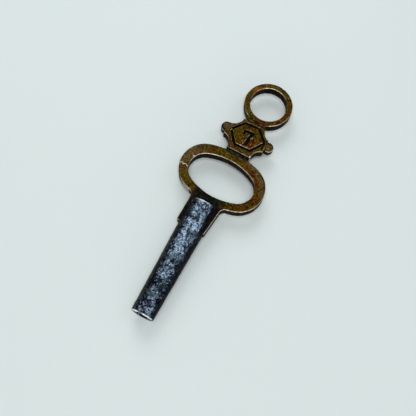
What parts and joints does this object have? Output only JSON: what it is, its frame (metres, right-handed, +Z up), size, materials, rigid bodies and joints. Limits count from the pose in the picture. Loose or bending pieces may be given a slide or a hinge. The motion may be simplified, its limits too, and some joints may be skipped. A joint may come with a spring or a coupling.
{
  "type": "pocket watch winding key",
  "caption": "Flat brass bow with a ring, a numbered cartouche and a finger oval, brazed to a tapered steel pipe with a square winding socket.",
  "frame": {"origin": "middle of the key's length and width, on the surface the key lies on", "axes": "+Y along the bow from the pipe towards the suspension ring, +Z up out of the numbered face, +X across the finger oval"},
  "size_m": [0.0114, 0.0346, 0.0036],
  "materials": {
    "brass_bow": "aged brown patina, brighter on worn edges",
    "blued_steel": "darkened, pitted",
    "braze": "blackened by the torch, matt"
  },
  "bodies": {
    "root": {"bow": "brass_bow", "pipe": "blued_steel", "braze": "braze"}
  },
  "joints": []
}
